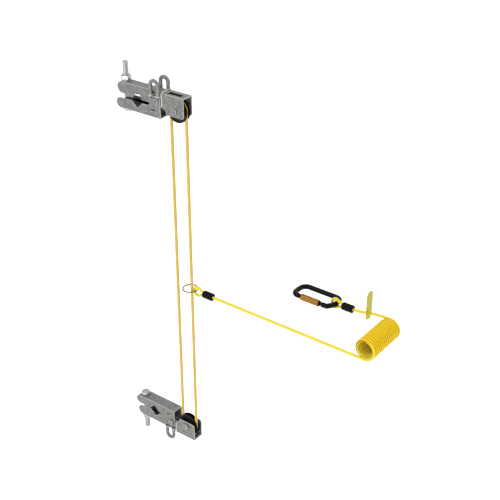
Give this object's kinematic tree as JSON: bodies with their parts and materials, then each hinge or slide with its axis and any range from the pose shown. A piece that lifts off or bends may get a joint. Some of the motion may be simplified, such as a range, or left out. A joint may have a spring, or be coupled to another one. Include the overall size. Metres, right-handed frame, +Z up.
{
  "type": "clamp-on rope loop tag line",
  "caption": "Endless rope loop round pulleys in rung-clamp brackets, with a sliding ring, a coiled yellow lanyard, a tag and a locking carabiner.",
  "frame": {"origin": "centre of the rung that the upper clamp holds", "axes": "+X along the brackets from the clamp to the pulley, +Y across them along the rung, +Z up"},
  "size_m": [0.6265, 0.1406, 0.924],
  "materials": {
    "galvanised_steel": "satin",
    "bright_zinc": "polished",
    "black_nylon": "satin",
    "bronze_bush": "satin",
    "ochre_rope": "braided",
    "chrome": "polished",
    "yellow_cord": "satin",
    "black_heatshrink": "satin",
    "yellow_label": "satin",
    "black_anodised": "gloss",
    "bronze_anodised": "satin"
  },
  "bodies": {
    "root": {"loop_rope": "ochre_rope", "upper_clamp_arm": "galvanised_steel", "lower_clamp_arm": "galvanised_steel", "upper_pulley_housing": "galvanised_steel", "lower_pulley_housing": "galvanised_steel", "upper_eye_front": "galvanised_steel", "lower_eye_front": "galvanised_steel", "upper_eye_rear": "galvanised_steel", "lower_eye_rear": "galvanised_steel", "upper_pivot_pin": "galvanised_steel", "lower_pivot_pin": "galvanised_steel", "upper_pivot_collar": "galvanised_steel", "lower_pivot_collar": "galvanised_steel", "upper_clamp_washer": "bright_zinc", "lower_clamp_washer": "bright_zinc", "upper_axle": "galvanised_steel", "lower_axle": "galvanised_steel", "upper_axle_collar": "galvanised_steel", "lower_axle_collar": "galvanised_steel", "upper_spacer_front": "black_nylon", "lower_spacer_front": "black_nylon", "upper_spacer_rear": "black_nylon", "lower_spacer_rear": "black_nylon"},
    "upper_jaw": {"upper_swing_jaw": "galvanised_steel"},
    "upper_bolt": {"upper_clamp_bolt": "bright_zinc"},
    "upper_nut": {"upper_clamp_nut": "bright_zinc"},
    "upper_wheel": {"upper_pulley": "black_nylon", "upper_pulley_bush": "bronze_bush"},
    "lower_jaw": {"lower_swing_jaw": "galvanised_steel"},
    "lower_bolt": {"lower_clamp_bolt": "bright_zinc"},
    "lower_nut": {"lower_clamp_nut": "bright_zinc"},
    "lower_wheel": {"lower_pulley": "black_nylon", "lower_pulley_bush": "bronze_bush"},
    "lanyard": {"shuttle_ring": "chrome", "ring_eye_loop": "yellow_cord", "ring_ferrule": "black_heatshrink", "lanyard_run_long": "yellow_cord", "lanyard_coil": "yellow_cord", "lanyard_run_short": "yellow_cord", "inspection_tag": "yellow_label", "carabiner_ferrule": "black_heatshrink", "carabiner_eye_loop": "yellow_cord", "carabiner_frame": "black_anodised", "gate_pin": "bright_zinc"},
    "gate": {"carabiner_gate": "black_anodised"},
    "sleeve": {"gate_sleeve": "bronze_anodised"}
  },
  "joints": [
    {"name": "shuttle_travel", "type": "slide", "parent": "root", "child": "lanyard", "axis": [0, 0, 1], "range_m": [-0.3, 0.3]},
    {"name": "upper_pulley_turn", "type": "hinge", "parent": "root", "child": "upper_wheel", "pos_m": [0.098, 0, -0.002], "axis": [0, 1, 0], "range_deg": [-900, 900]},
    {"name": "upper_jaw_swing", "type": "hinge", "parent": "root", "child": "upper_jaw", "pos_m": [0.052, 0, 0.008], "axis": [0, -1, 0], "range_deg": [0, 8]},
    {"name": "upper_bolt_travel", "type": "slide", "parent": "root", "child": "upper_bolt", "axis": [0, 0, -1], "range_m": [0, 0.016]},
    {"name": "upper_nut_turn", "type": "hinge", "parent": "root", "child": "upper_nut", "pos_m": [-0.038, 0, 0.0311], "axis": [0, 0, 1], "continuous": true},
    {"name": "lower_pulley_turn", "type": "hinge", "parent": "root", "child": "lower_wheel", "pos_m": [0.098, 0, -0.782], "axis": [0, 1, 0], "range_deg": [-900, 900]},
    {"name": "lower_jaw_swing", "type": "hinge", "parent": "root", "child": "lower_jaw", "pos_m": [0.052, 0, -0.792], "axis": [0, 1, 0], "range_deg": [0, 8]},
    {"name": "lower_bolt_travel", "type": "slide", "parent": "root", "child": "lower_bolt", "axis": [0, 0, 1], "range_m": [0, 0.016]},
    {"name": "lower_nut_turn", "type": "hinge", "parent": "root", "child": "lower_nut", "pos_m": [-0.038, 0, -0.8151], "axis": [0, 0, -1], "continuous": true},
    {"name": "gate_swing", "type": "hinge", "parent": "lanyard", "child": "gate", "pos_m": [0.4025, 0.0746, -0.3764], "axis": [0, 0, -1], "range_deg": [0, 20], "stiffness_Nm_per_rad": 0.15, "springref_deg": -8.59},
    {"name": "sleeve_twist", "type": "hinge", "parent": "gate", "child": "sleeve", "pos_m": [0.3715, 0.0746, -0.3764], "axis": [1, 0, 0], "range_deg": [0, 90], "stiffness_Nm_per_rad": 0.03, "springref_deg": -5.73}
  ],
  "couplings": [
    {"joint": "upper_pulley_turn", "follows": "shuttle_travel", "rad_per_m": -51.282},
    {"joint": "upper_bolt_travel", "follows": "upper_jaw_swing", "m_per_rad": 0.106},
    {"joint": "lower_pulley_turn", "follows": "shuttle_travel", "rad_per_m": -51.282},
    {"joint": "lower_bolt_travel", "follows": "lower_jaw_swing", "m_per_rad": 0.106}
  ]
}
